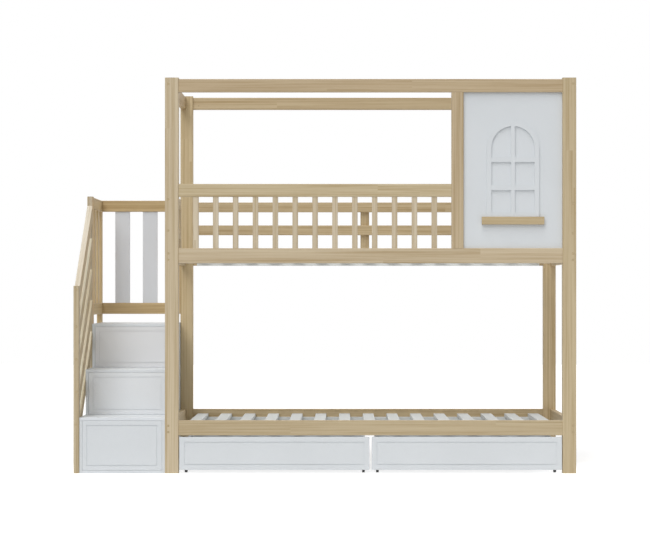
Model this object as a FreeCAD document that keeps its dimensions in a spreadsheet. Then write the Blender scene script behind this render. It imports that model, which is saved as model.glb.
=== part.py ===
import FreeCAD, Part
import math
import os
import Sketcher

# House bunk bed with a storage staircase, in millimetres. The origin is the middle of the
# footprint on the floor: X runs along the bed, Y from its front to the wall, Z up.
SIZES = (
    # Outline of the bed and of the staircase beside it
    ("bed_length", "2078"),
    ("bed_depth", "990"),
    ("bed_height", "2000"),
    ("stair_box_width", "434"),
    ("stair_frame_thickness", "28"),
    # Posts, rails and boards of the bed
    ("post_width", "69"),
    ("post_depth", "44"),
    ("rail_thickness", "28"),
    ("side_rail_inset", "4"),
    ("end_rail_inset", "3"),
    ("roof_rail_height", "66"),
    ("roof_rail_drop", "7"),
    ("bed_rail_height", "76"),
    ("upper_rail_top", "1138"),
    ("lower_rail_top", "268"),
    ("edge_rounding", "3"),
    # Guards of the upper bunk
    ("front_guard_top", "1463"),
    ("front_guard_height", "65"),
    ("baluster_width", "28"),
    ("baluster_depth", "20"),
    ("baluster_count", "13"),
    ("thin_rail_height", "54"),
    ("thin_rail_thickness", "20"),
    ("rear_high_guard_top", "1412"),
    ("rear_low_guard_top", "1285"),
    ("left_high_guard_top", "1412"),
    ("left_low_guard_top", "1254"),
    ("right_high_guard_top", "1389"),
    ("right_low_guard_top", "1240"),
    ("rear_stile_width", "48"),
    ("rear_stile_offset", "18"),
    ("entry_width", "318"),
    ("entry_stile_width", "48"),
    # Slat decks
    ("ledger_height", "33"),
    ("ledger_thickness", "20"),
    ("ledger_end_gap", "92"),
    ("slat_width", "60"),
    ("slat_thickness", "19"),
    ("slat_count", "15"),
    ("slat_end_distance", "125"),
    ("slat_side_gap", "0.3"),
    # House front: stud, panel, arched window frame and sill
    ("stud_width", "61"),
    ("panel_width", "500"),
    ("panel_thickness", "10"),
    ("panel_recess", "20"),
    ("window_width", "266"),
    ("window_bottom_share", "0.20152"),
    ("window_spring_share", "0.64512"),
    ("window_relief", "9"),
    ("window_border", "24"),
    ("upright_bar_width", "20"),
    ("cross_bar_height", "26"),
    ("low_cross_bar_share", "0.17110"),
    ("high_cross_bar_share", "0.35108"),
    ("sill_length", "315"),
    ("sill_height", "39"),
    ("sill_projection", "20"),
    # Staircase boxes
    ("stair_panel", "15"),
    ("stair_back_thickness", "6"),
    ("stair_front_recess", "8"),
    ("stair_back_recess", "10"),
    ("stair_box_back_recess", "15"),
    ("lower_tread_top", "282"),
    ("middle_tread_top", "515"),
    ("landing_top", "748"),
    ("middle_step_depth", "256"),
    ("landing_step_depth", "527"),
    ("panel_rounding", "1.5"),
    # Staircase side frame and landing guard
    ("stair_front_post_depth", "44"),
    ("stair_front_post_height", "948"),
    ("stair_middle_post_front", "534"),
    ("stair_middle_post_depth", "60"),
    ("stair_middle_post_height", "1425"),
    ("stair_rear_post_depth", "45"),
    ("landing_guard_top", "1422"),
    ("landing_guard_bottom", "795"),
    ("landing_rail_height", "61"),
    ("handrail_low_top", "948"),
    ("handrail_high_top", "1375"),
    ("slope_slat_depth", "86"),
    ("first_slat_drop", "173"),
    ("slope_slat_pitch", "165"),
    ("slope_slat_count", "4"),
    ("landing_slat_count", "2"),
    ("landing_slat_width", "81"),
    ("landing_slat_thickness", "15"),
    ("landing_side_slat_width", "68"),
    ("landing_side_slat_thickness", "20"),
    ("landing_stile_width", "57"),
    # Step drawers and their runners
    ("front_thickness", "15"),
    ("front_gap", "0.8"),
    ("step_groove_margin", "22"),
    ("drawer_groove_margin", "25"),
    ("groove_width", "5"),
    ("groove_depth", "2.5"),
    ("box_board", "12"),
    ("box_bottom_thickness", "6"),
    ("runner_width", "14"),
    ("runner_height", "16"),
    ("running_gap", "0.3"),
    ("step_box_side_gap", "3"),
    ("step_box_height", "150"),
    ("step_box_rear_gap", "32"),
    # Rolling drawers under the lower bunk
    ("drawer_side_gap", "3.5"),
    ("drawer_middle_gap", "11"),
    ("drawer_front_bottom", "17.5"),
    ("drawer_front_height", "167"),
    ("drawer_box_inset", "20"),
    ("drawer_box_bottom", "45"),
    ("drawer_box_height", "120"),
    ("drawer_box_depth", "430"),
    ("drawer_bottom_thickness", "9"),
    # Fixed castors
    ("wheel_radius", "19"),
    ("wheel_width", "14"),
    ("wheel_edge", "2.5"),
    ("hub_radius", "8"),
    ("hub_recess", "2"),
    ("wheel_side_gap", "0.6"),
    ("axle_radius", "2.5"),
    ("axle_fit", "0.05"),
    ("castor_cheek", "2.5"),
    ("castor_plate", "3"),
    ("castor_plate_length", "44"),
    ("castor_cheek_length", "20"),
    ("castor_cheek_reach", "5"),
    ("castor_end_distance", "30"),
    ("castor_front_distance", "60"),
    # Connector bolts
    ("bolt_radius", "3"),
    ("bolt_head_radius", "6"),
    ("bolt_head_height", "4"),
    ("bolt_fit", "0.3"),
    ("counterbore_depth", "5"),
    ("bolt_bite", "40"),
    ("bolt_tip_gap", "2"),
    ("bolt_pair_half", "16"),
    ("bolt_pair_drop", "5"),
    ("nut_radius", "5"),
    ("nut_length", "20"),
    ("nut_sinking", "1"),
    ("nut_setback", "10"),
    ("roof_bolt_rise", "8"),
    ("roof_bolt_fall", "12"),
    ("handrail_bolt_drop", "18"),
    ("slope_bolt_drop", "33"),
    ("slope_bolt_bite", "22"),
    ("high_slope_bolt_drop", "38"),
    ("cut_overrun", "2"),
)

doc = FreeCAD.newDocument("house_bunk_bed")
sheet = doc.addObject("Spreadsheet::Sheet", "dims")
for row, (alias, size) in enumerate(SIZES, start=1):
    sheet.set(f"A{row}", alias)
    sheet.set(f"B{row}", size)
    sheet.setAlias(f"B{row}", alias)
doc.recompute()

# Places that several pieces share, as formulas on the sheet
BED_RIGHT = "((dims.bed_length + dims.stair_box_width + dims.stair_frame_thickness) / 2)"
BED_LEFT = f"({BED_RIGHT} - dims.bed_length)"
BOX_LEFT = f"({BED_LEFT} - dims.stair_box_width)"
FRAME_LEFT = f"({BOX_LEFT} - dims.stair_frame_thickness)"
FRONT = "(-dims.bed_depth / 2)"
BACK = "(dims.bed_depth / 2)"
CLEAR_LEFT = f"({BED_LEFT} + dims.post_width)"
CLEAR_RIGHT = f"({BED_RIGHT} - dims.post_width)"
CLEAR_LENGTH = "(dims.bed_length - 2 * dims.post_width)"
CLEAR_DEPTH = "(dims.bed_depth - 2 * dims.post_depth)"
FRONT_RAIL_Y = f"({FRONT} + dims.side_rail_inset)"
REAR_RAIL_Y = f"({BACK} - dims.side_rail_inset - dims.rail_thickness)"
END_Y = f"({FRONT} + dims.post_depth)"
ROOF_RAIL_TOP = "(dims.bed_height - dims.roof_rail_drop)"
ROOF_RAIL_BOTTOM = f"({ROOF_RAIL_TOP} - dims.roof_rail_height)"
RAIL_TOPS = {"upper": "dims.upper_rail_top", "lower": "dims.lower_rail_top"}
STAIR_FRONT = f"({FRONT} + dims.stair_front_recess)"
STAIR_BACK = f"({BACK} - dims.stair_back_recess)"
BOX_BACK = f"({BACK} - dims.stair_box_back_recess)"
ZERO = "0"

# The edges of a box that run along each grain axis
AXES = {"x": FreeCAD.Vector(1, 0, 0), "y": FreeCAD.Vector(0, 1, 0), "z": FreeCAD.Vector(0, 0, 1)}
BOX_EDGES = [edge.Vertexes[1].Point - edge.Vertexes[0].Point for edge in Part.makeBox(1, 1, 1).Edges]
ALONG = {
    name: [f"Edge{n}" for n, run in enumerate(BOX_EDGES, start=1) if run.dot(axis)]
    for name, axis in AXES.items()
}
# Turns that lay a cylinder's own axis along each direction
TURNS = {
    "x": FreeCAD.Rotation(AXES["y"], 90),
    "-x": FreeCAD.Rotation(AXES["y"], -90),
    "y": FreeCAD.Rotation(AXES["x"], -90),
    "-y": FreeCAD.Rotation(AXES["x"], 90),
}

nodes = []
drillings = {}


def value(formula):
    """The number that a formula on the sheet comes to."""
    return float(sheet.evalExpression(formula))


def place(thing, corner):
    """Tie an object's three coordinates to formulas."""
    for axis, formula in zip("xyz", corner):
        thing.setExpression(f"Placement.Base.{axis}", formula)


def keep(label, thing):
    """Name a finished sub-part and list it for writing."""
    thing.Label = label
    nodes.append(thing)
    return thing


def board(name, size, corner, grain="x", rounding="dims.edge_rounding"):
    """A planed board: a box at its lowest corner, with its four long edges rounded."""
    body = doc.addObject("PartDesign::Body", name)
    blank = body.newObject("PartDesign::AdditiveBox", f"{name}_blank")
    for side, formula in zip(("Length", "Width", "Height"), size):
        blank.setExpression(side, formula)
    place(body, corner)
    if rounding:
        eased = body.newObject("PartDesign::Fillet", f"{name}_eased")
        eased.Base = (blank, ALONG[grain])
        eased.setExpression("Radius", rounding)
    return body


def group(label, pieces):
    """Like pieces that share a node, each still a solid of its own."""
    together = doc.addObject("Part::Compound", label)
    together.Links = pieces
    return keep(label, together)


def sketch_on(body, name, plane):
    """A sketch on one of a body's own origin planes."""
    sketch = body.newObject("Sketcher::SketchObject", name)
    support = next(f for f in body.Origin.OriginFeatures if f.Role == plane)
    sketch.AttachmentSupport = (support, [""])
    sketch.MapMode = "FlatFace"
    return sketch


def hold(sketch, geometry, point, across, up):
    """Fix a point of a sketch at formulas across and up from the sketch's origin."""
    for kind, axis_line, formula in (("DistanceX", -2, across), ("DistanceY", -1, up)):
        if formula == ZERO:
            sketch.addConstraint(Sketcher.Constraint("PointOnObject", geometry, point, axis_line))
            continue
        rule = Sketcher.Constraint(kind, -1, 1, geometry, point, value(formula))
        index = sketch.addConstraint(rule)
        sketch.setExpression(f"Constraints[{index}]", formula)


def outline(sketch, corners):
    """A closed loop of straight lines through corners given as pairs of formulas."""
    first = sketch.GeometryCount
    count = len(corners)
    spots = [FreeCAD.Vector(value(across), value(up), 0) for across, up in corners]
    for n in range(count):
        sketch.addGeometry(Part.LineSegment(spots[n], spots[(n + 1) % count]), False)
    for n in range(count):
        following = first + (n + 1) % count
        sketch.addConstraint(Sketcher.Constraint("Coincident", first + n, 2, following, 1))
    for n, (across, up) in enumerate(corners):
        hold(sketch, first + n, 1, across, up)


def arch(sketch, left, right, bottom, spring):
    """A closed loop of a flat foot, two upright sides and a half-round head."""
    first = sketch.GeometryCount
    x0, x1, z0, z1 = (value(formula) for formula in (left, right, bottom, spring))
    foot = Part.LineSegment(FreeCAD.Vector(x0, z0, 0), FreeCAD.Vector(x1, z0, 0))
    side = Part.LineSegment(FreeCAD.Vector(x1, z0, 0), FreeCAD.Vector(x1, z1, 0))
    round_head = Part.Circle(FreeCAD.Vector((x0 + x1) / 2, z1, 0), AXES["z"], (x1 - x0) / 2)
    head = Part.ArcOfCircle(round_head, 0, math.pi)
    other_side = Part.LineSegment(FreeCAD.Vector(x0, z1, 0), FreeCAD.Vector(x0, z0, 0))
    for piece in (foot, side, head, other_side):
        sketch.addGeometry(piece, False)
    for n in range(4):
        following = first + (n + 1) % 4
        sketch.addConstraint(Sketcher.Constraint("Coincident", first + n, 2, following, 1))
    hold(sketch, first, 1, left, bottom)
    hold(sketch, first + 1, 1, right, bottom)
    hold(sketch, first + 2, 1, right, spring)
    hold(sketch, first + 3, 1, left, spring)
    sketch.addConstraint(Sketcher.Constraint("Horizontal", first + 2, 1, first + 2, 3))


def rod(name, radius, length, point, direction, depth):
    """A cylinder that starts at a depth below a point and runs on in a direction."""
    thing = doc.addObject("Part::Cylinder", name)
    thing.setExpression("Radius", radius)
    thing.setExpression("Height", length)
    thing.Placement = FreeCAD.Placement(FreeCAD.Vector(), TURNS[direction])
    sign = "-" if direction.startswith("-") else "+"
    start = [f"{formula} {sign} ({depth})" if axis == direction[-1] else formula
             for axis, formula in zip("xyz", point)]
    place(thing, start)
    return thing


def bolt(name, members, point, direction, grip, bite="dims.bolt_bite"):
    """A sunk connector bolt through one member into the next, with its hole in both."""
    reach = f"{grip} + {bite} - dims.counterbore_depth"
    head = rod(f"{name}_head", "dims.bolt_head_radius", "dims.bolt_head_height", point, direction,
               "dims.counterbore_depth - dims.bolt_head_height")
    shank = rod(f"{name}_shank", "dims.bolt_radius", reach, point, direction, "dims.counterbore_depth")
    whole = doc.addObject("Part::Fuse", name)
    whole.Base = head
    whole.Tool = shank
    sinking = rod(f"{name}_sinking", "dims.bolt_head_radius + dims.bolt_fit",
                  "dims.counterbore_depth + dims.cut_overrun", point, direction, "-dims.cut_overrun")
    hole = rod(f"{name}_hole", "dims.bolt_radius + dims.bolt_fit",
               f"{grip} + {bite} + dims.bolt_tip_gap", point, direction, ZERO)
    drillings.setdefault(members[0], []).extend([sinking, hole])
    drillings.setdefault(members[1], []).append(hole)
    bolts.append(whole)
    return hole


def barrel_nut(name, rail, mouth, direction, bolt_hole):
    """A round nut let into a rail's inner face across a bolt, with the bolt's way through it."""
    blank = rod(f"{name}_blank", "dims.nut_radius", "dims.nut_length", mouth, direction, "dims.nut_sinking")
    nut = doc.addObject("Part::Cut", name)
    nut.Base = blank
    nut.Tool = bolt_hole
    depth = "dims.nut_length + dims.nut_sinking + dims.cut_overrun"
    pocket = rod(f"{name}_pocket", "dims.nut_radius + dims.bolt_fit", depth, mouth, direction,
                 "-dims.cut_overrun")
    drillings[rail].append(pocket)
    nuts.append(nut)


def drill(name, body):
    """A board with all its bolt holes cut."""
    tools = doc.addObject("Part::Compound", f"{name}_holes")
    tools.Links = drillings[name]
    cut = doc.addObject("Part::Cut", f"{name}_drilled")
    cut.Base = body
    cut.Tool = tools
    return cut


bolts = []
nuts = []

# Four posts carry everything. Their wide face looks to the front.
POST_SIZE = ("dims.post_width", "dims.post_depth", "dims.bed_height")
CORNERS = {
    "front_left": (BED_LEFT, FRONT),
    "front_right": (CLEAR_RIGHT, FRONT),
    "rear_left": (BED_LEFT, f"({BACK} - dims.post_depth)"),
    "rear_right": (CLEAR_RIGHT, f"({BACK} - dims.post_depth)"),
}
timbers = {}
for corner, (x, y) in CORNERS.items():
    timbers[f"{corner}_post"] = board(f"{corner}_timber", POST_SIZE, (x, y, ZERO), "z")

# Long rails run between the posts: two under the roof line and two for each bunk.
for side, y in (("front", FRONT_RAIL_Y), ("rear", REAR_RAIL_Y)):
    timbers[f"{side}_roof_rail"] = board(
        f"{side}_roof_timber", (CLEAR_LENGTH, "dims.rail_thickness", "dims.roof_rail_height"),
        (CLEAR_LEFT, y, ROOF_RAIL_BOTTOM))
    for bunk, top in RAIL_TOPS.items():
        timbers[f"{bunk}_{side}_rail"] = board(
            f"{bunk}_{side}_timber", (CLEAR_LENGTH, "dims.rail_thickness", "dims.bed_rail_height"),
            (CLEAR_LEFT, y, f"{top} - dims.bed_rail_height"))

# Short rails close the two ends at the same three levels.
END_X = {
    "left": f"({BED_LEFT} + dims.end_rail_inset)",
    "right": f"({BED_RIGHT} - dims.end_rail_inset - dims.rail_thickness)",
}
for end, x in END_X.items():
    timbers[f"roof_{end}_rail"] = board(
        f"roof_{end}_timber", ("dims.rail_thickness", CLEAR_DEPTH, "dims.roof_rail_height"),
        (x, END_Y, ROOF_RAIL_BOTTOM), "y")
    for bunk, top in RAIL_TOPS.items():
        timbers[f"{bunk}_{end}_rail"] = board(
            f"{bunk}_{end}_timber", ("dims.rail_thickness", CLEAR_DEPTH, "dims.bed_rail_height"),
            (x, END_Y, f"{top} - dims.bed_rail_height"), "y")

# The front guard is a top rail from the left post to the window stud.
STUD_LEFT = f"({CLEAR_RIGHT} - dims.panel_width - dims.stud_width)"
GUARD_LENGTH = f"({STUD_LEFT} - {CLEAR_LEFT})"
GUARD_BOTTOM = "(dims.front_guard_top - dims.front_guard_height)"
timbers["front_guard_rail"] = board(
    "front_guard_timber", (GUARD_LENGTH, "dims.rail_thickness", "dims.front_guard_height"),
    (CLEAR_LEFT, FRONT_RAIL_Y, GUARD_BOTTOM))

# Thin guard rails close both ends of the upper bunk. The left pair stops short, where the
# landing of the staircase leads in.
LEVELS = ("high", "low")
LEFT_GUARD_DEPTH = f"({CLEAR_DEPTH} - dims.entry_width - dims.entry_stile_width)"
for end, depth in (("left", LEFT_GUARD_DEPTH), ("right", CLEAR_DEPTH)):
    for level in LEVELS:
        timbers[f"{level}_{end}_guard"] = board(
            f"{level}_{end}_guard_timber", ("dims.rail_thickness", depth, "dims.thin_rail_height"),
            (END_X[end], END_Y, f"dims.{end}_{level}_guard_top - dims.thin_rail_height"), "y")

# Connector bolts at every post: along Y into the end rails, along X into the long rails.
BOLT_OUT = "(dims.end_rail_inset + dims.rail_thickness / 2)"
BOLT_X = {"left": f"({BED_LEFT} + {BOLT_OUT})", "right": f"({BED_RIGHT} - {BOLT_OUT})"}
BOLT_Y = {
    "front": f"({FRONT_RAIL_Y} + dims.rail_thickness / 2)",
    "rear": f"({REAR_RAIL_Y} + dims.rail_thickness / 2)",
}
ROOF_MIDDLE = f"({ROOF_RAIL_TOP} - dims.roof_rail_height / 2)"
NUT_OFFSET = "(dims.bolt_bite - dims.nut_setback)"
NUT_Y = {
    "front": f"({END_Y} + {NUT_OFFSET})",
    "rear": f"({BACK} - dims.post_depth - {NUT_OFFSET})",
}
NUT_X = {"left": f"({CLEAR_LEFT} + {NUT_OFFSET})", "right": f"({CLEAR_RIGHT} - {NUT_OFFSET})"}
INNER_X = {"left": f"({END_X['left']} + dims.rail_thickness)", "right": END_X["right"]}
INNER_Y = {"front": f"({FRONT_RAIL_Y} + dims.rail_thickness)", "rear": REAR_RAIL_Y}
for side, face, inward, outward_y in (("front", FRONT, "y", "-y"), ("rear", BACK, "-y", "y")):
    for end, edge, across, outward_x in (("left", BED_LEFT, "x", "-x"), ("right", BED_RIGHT, "-x", "x")):
        post = f"{side}_{end}_post"
        into_end = [(f"roof_{end}_rail", f"({ROOF_MIDDLE} + dims.roof_bolt_rise)")]
        into_side = [(f"{side}_roof_rail", f"({ROOF_MIDDLE} - dims.roof_bolt_fall)")]
        for bunk, top in RAIL_TOPS.items():
            middle = f"({top} - dims.bed_rail_height / 2)"
            into_end.append((f"{bunk}_{end}_rail", f"({middle} + dims.bolt_pair_half - dims.bolt_pair_drop)"))
            into_end.append((f"{bunk}_{end}_rail", f"({middle} - dims.bolt_pair_half - dims.bolt_pair_drop)"))
            into_side.append((f"{bunk}_{side}_rail", f"({middle} - dims.bolt_pair_drop)"))
        if side == "front" or end == "right":
            for level in LEVELS:
                middle = f"(dims.{end}_{level}_guard_top - dims.thin_rail_height / 2)"
                into_end.append((f"{level}_{end}_guard", middle))
        if post == "front_left_post":
            into_side.append(("front_guard_rail", "(dims.front_guard_top - dims.front_guard_height / 2)"))
        for n, (rail, height) in enumerate(into_end):
            entry = (BOLT_X[end], face, height)
            hole = bolt(f"{post}_end_bolt_{n}", (post, rail), entry, inward, "dims.post_depth")
            barrel_nut(f"{post}_end_nut_{n}", rail, (INNER_X[end], NUT_Y[side], height), outward_x, hole)
        for n, (rail, height) in enumerate(into_side):
            entry = (edge, BOLT_Y[side], height)
            hole = bolt(f"{post}_side_bolt_{n}", (post, rail), entry, across, "dims.post_width")
            barrel_nut(f"{post}_side_nut_{n}", rail, (NUT_X[end], INNER_Y[side], height), outward_y, hole)

# The drilled timbers, single ones and then the pairs that share a node
SINGLE_TIMBERS = [f"{corner}_post" for corner in CORNERS]
SINGLE_TIMBERS += [f"{side}_roof_rail" for side in ("front", "rear")]
SINGLE_TIMBERS += [f"{bunk}_{side}_rail" for bunk in RAIL_TOPS for side in ("front", "rear")]
SINGLE_TIMBERS += ["front_guard_rail"]
for name in SINGLE_TIMBERS:
    keep(name, drill(name, timbers[name]))
for level in ("roof", "upper", "lower"):
    pair = [f"{level}_{end}_rail" for end in END_X]
    group(f"{level}_end_rails", [drill(name, timbers[name]) for name in pair])
guards = [f"{level}_{end}_guard" for end in END_X for level in LEVELS]
group("end_guard_rails", [drill(name, timbers[name]) for name in guards])

# Balusters stand evenly between the upper front rail and the guard's top rail.
BALUSTER_PITCH = (f"(({GUARD_LENGTH} - dims.baluster_count * dims.baluster_width)"
                  " / (dims.baluster_count + 1) + dims.baluster_width)")
BALUSTER_Y = f"({FRONT_RAIL_Y} + (dims.rail_thickness - dims.baluster_depth) / 2)"
BALUSTER_HEIGHT = f"({GUARD_BOTTOM} - dims.upper_rail_top)"
balusters = []
for n in range(int(value("dims.baluster_count"))):
    x = f"{CLEAR_LEFT} + {n + 1} * {BALUSTER_PITCH} - dims.baluster_width"
    balusters.append(board(
        f"baluster_{n}", ("dims.baluster_width", "dims.baluster_depth", BALUSTER_HEIGHT),
        (x, BALUSTER_Y, "dims.upper_rail_top"), "z"))
group("front_guard_balusters", balusters)

# Two thin rails guard the wall side, with one stile behind them near the middle.
THIN_RAIL_Y = f"({BACK} - dims.post_depth)"
rear_guards = []
for level in LEVELS:
    rear_guards.append(board(
        f"{level}_rear_guard", (CLEAR_LENGTH, "dims.thin_rail_thickness", "dims.thin_rail_height"),
        (CLEAR_LEFT, THIN_RAIL_Y, f"dims.rear_{level}_guard_top - dims.thin_rail_height")))
group("rear_guard_rails", rear_guards)
rear_stile = board(
    "rear_stile", ("dims.rear_stile_width", "dims.thin_rail_thickness",
                   "dims.rear_high_guard_top - dims.upper_rail_top"),
    (f"{BED_RIGHT} - (dims.bed_length + dims.rear_stile_width) / 2 - dims.rear_stile_offset",
     f"{THIN_RAIL_Y} + dims.thin_rail_thickness", "dims.upper_rail_top"), "z")
entry_stile = board(
    "entry_stile", ("dims.rail_thickness", "dims.entry_stile_width",
                    "dims.left_high_guard_top - dims.upper_rail_top"),
    (END_X["left"], f"{END_Y} + {LEFT_GUARD_DEPTH}", "dims.upper_rail_top"), "z")
group("guard_stiles", [rear_stile, entry_stile])

# Each bunk has two ledgers along its long rails, and loose slats across them.
SLAT_DEPTH = (f"({REAR_RAIL_Y} - {FRONT_RAIL_Y} - dims.rail_thickness - 2 * dims.slat_side_gap)")
SLAT_PITCH = "((dims.bed_length - 2 * dims.slat_end_distance) / (dims.slat_count - 1))"
LEDGER_Y = {
    "front": f"({FRONT_RAIL_Y} + dims.rail_thickness)",
    "rear": f"({REAR_RAIL_Y} - dims.ledger_thickness)",
}
ledgers = []
for bunk, top in RAIL_TOPS.items():
    rail_bottom = f"({top} - dims.bed_rail_height)"
    for side, y in LEDGER_Y.items():
        ledgers.append(board(
            f"{bunk}_{side}_ledger",
            ("dims.bed_length - 2 * dims.ledger_end_gap", "dims.ledger_thickness", "dims.ledger_height"),
            (f"{BED_LEFT} + dims.ledger_end_gap", y, rail_bottom), "x", "dims.panel_rounding"))
    slats = []
    for n in range(int(value("dims.slat_count"))):
        x = f"{BED_LEFT} + dims.slat_end_distance + {n} * {SLAT_PITCH} - dims.slat_width / 2"
        slats.append(board(
            f"{bunk}_slat_{n}", ("dims.slat_width", SLAT_DEPTH, "dims.slat_thickness"),
            (x, f"{LEDGER_Y['front']} + dims.slat_side_gap", f"{rail_bottom} + dims.ledger_height"), "y"))
    group(f"{bunk}_slats", slats)
group("slat_ledgers", ledgers)

# The house front: a stud, a painted panel, and an arched window frame and sill laid on it.
FACADE_BOTTOM = "dims.upper_rail_top"
FACADE_HEIGHT = f"({ROOF_RAIL_BOTTOM} - dims.upper_rail_top)"
PANEL_LEFT = f"({CLEAR_RIGHT} - dims.panel_width)"
PANEL_FACE = f"({FRONT} + dims.panel_recess)"
WINDOW_MIDDLE = f"({PANEL_LEFT} + dims.panel_width / 2)"
WINDOW_BOTTOM = f"({FACADE_BOTTOM} + dims.window_bottom_share * {FACADE_HEIGHT})"
keep("window_stud", board(
    "stud", ("dims.stud_width", "dims.rail_thickness", FACADE_HEIGHT),
    (STUD_LEFT, FRONT_RAIL_Y, FACADE_BOTTOM), "z"))
keep("window_panel", board(
    "panel", ("dims.panel_width", "dims.panel_thickness", FACADE_HEIGHT),
    (PANEL_LEFT, PANEL_FACE, FACADE_BOTTOM), "z", None))
keep("window_sill", board(
    "sill", ("dims.sill_length", "dims.sill_projection", "dims.sill_height"),
    (f"{WINDOW_MIDDLE} - dims.sill_length / 2", f"{PANEL_FACE} - dims.sill_projection",
     f"{WINDOW_BOTTOM} - dims.sill_height")))


def window_frame():
    """An arched border with one upright and two cross bars, cut from one sheet."""
    body = doc.addObject("PartDesign::Body", "arched_frame")
    sketch = sketch_on(body, "arched_border", "XZ_Plane")
    spring = f"((dims.window_spring_share - dims.window_bottom_share) * {FACADE_HEIGHT})"
    arch(sketch, ZERO, "dims.window_width", ZERO, spring)
    arch(sketch, "dims.window_border", "dims.window_width - dims.window_border", "dims.window_border", spring)
    border = body.newObject("PartDesign::Pad", "border")
    border.Profile = sketch
    border.setExpression("Length", "dims.window_relief")
    border.Reversed = True
    overlap = "dims.window_border / 2"
    bars = [("upright_bar", "dims.upright_bar_width",
             f"{spring} + dims.window_width / 2 - dims.window_border",
             "(dims.window_width - dims.upright_bar_width) / 2", overlap)]
    for name, share in (("low_bar", "dims.low_cross_bar_share"), ("high_bar", "dims.high_cross_bar_share")):
        bars.append((name, "dims.window_width - dims.window_border", "dims.cross_bar_height",
                     overlap, f"{share} * {FACADE_HEIGHT}"))
    for name, width, height, across, up in bars:
        bar = body.newObject("PartDesign::AdditiveBox", name)
        bar.setExpression("Length", width)
        bar.setExpression("Width", "dims.window_relief")
        bar.setExpression("Height", height)
        place(bar, (across, ZERO, up))
    left = f"{WINDOW_MIDDLE} - dims.window_width / 2"
    place(body, (left, f"{PANEL_FACE} - dims.window_relief", WINDOW_BOTTOM))
    return body


keep("window_frame", window_frame())

# The staircase: three open boxes, each shallower than the one below, set one on another.
STEPS = {
    "lower": ("dims.stair_panel", STAIR_FRONT, "dims.lower_tread_top"),
    "middle": ("dims.lower_tread_top", f"({FRONT} + dims.middle_step_depth)", "dims.middle_tread_top"),
    "upper": ("dims.middle_tread_top", f"({FRONT} + dims.landing_step_depth)", "dims.landing_top"),
}
TREAD_LABELS = {"lower": "lower_tread", "middle": "middle_tread", "upper": "landing_tread"}
BOX_CLEAR_LEFT = f"({BOX_LEFT} + dims.stair_panel)"
BOX_CLEAR_WIDTH = "(dims.stair_box_width - 2 * dims.stair_panel)"
keep("stair_base", board(
    "base_board", (BOX_CLEAR_WIDTH, f"{BOX_BACK} - {STAIR_FRONT}", "dims.stair_panel"),
    (BOX_CLEAR_LEFT, STAIR_FRONT, ZERO), "y", "dims.panel_rounding"))
STEP_BOX_DEPTH = (f"({BOX_BACK} - {STEPS['upper'][1]} - dims.front_thickness - dims.stair_back_thickness"
                  " - dims.step_box_rear_gap)")
box_sides = []
box_backs = []
runners = []
for step, (floor, front, top) in STEPS.items():
    foot = ZERO if step == "lower" else floor
    depth = f"({BOX_BACK} - {front})"
    ceiling = f"({top} - dims.stair_panel)"
    for side, x in (("left", BOX_LEFT), ("right", f"{BED_LEFT} - dims.stair_panel")):
        box_sides.append(board(
            f"{step}_{side}_side", ("dims.stair_panel", depth, f"{ceiling} - {foot}"),
            (x, front, foot), "z", "dims.panel_rounding"))
    box_backs.append(board(
        f"{step}_back", (BOX_CLEAR_WIDTH, "dims.stair_back_thickness", f"{ceiling} - {floor}"),
        (BOX_CLEAR_LEFT, f"{BOX_BACK} - dims.stair_back_thickness", floor), "x", None))
    for side, x in (("left", BOX_CLEAR_LEFT),
                    ("right", f"{BED_LEFT} - dims.stair_panel - dims.runner_width")):
        runners.append(board(
            f"{step}_{side}_runner",
            ("dims.runner_width", STEP_BOX_DEPTH, "dims.runner_height"),
            (x, f"{front} + dims.front_thickness", floor), "y", "dims.panel_rounding"))
    keep(TREAD_LABELS[step], board(
        f"{step}_tread_board", ("dims.stair_box_width", depth, "dims.stair_panel"),
        (BOX_LEFT, front, ceiling), "x", "dims.panel_rounding"))
group("stair_box_sides", box_sides)
group("stair_box_backs", box_backs)
group("drawer_runners", runners)

# The staircase's outer side is a timber frame flush against the boxes.
MIDDLE_POST_Y = f"({FRONT} + dims.stair_middle_post_front)"
REAR_POST_Y = f"({STAIR_BACK} - dims.stair_rear_post_depth)"
SIDE_POSTS = (
    ("stair_front_post", FRONT, "dims.stair_front_post_depth", "dims.stair_front_post_height"),
    ("stair_middle_post", MIDDLE_POST_Y, "dims.stair_middle_post_depth", "dims.stair_middle_post_height"),
    ("stair_rear_post", REAR_POST_Y, "dims.stair_rear_post_depth", "dims.landing_guard_top"),
)
for name, y, depth, height in SIDE_POSTS:
    timbers[name] = board(f"{name}_timber", ("dims.stair_frame_thickness", depth, height),
                          (FRAME_LEFT, y, ZERO), "z")

# Handrail and guard slats share one slanted profile between the front and middle posts.
SLOPE_START = f"({FRONT} + dims.stair_front_post_depth)"
SLOPE_RUN = "(dims.stair_middle_post_front - dims.stair_front_post_depth)"
SLOPE_RISE = "(dims.handrail_high_top - dims.handrail_low_top)"


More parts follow.
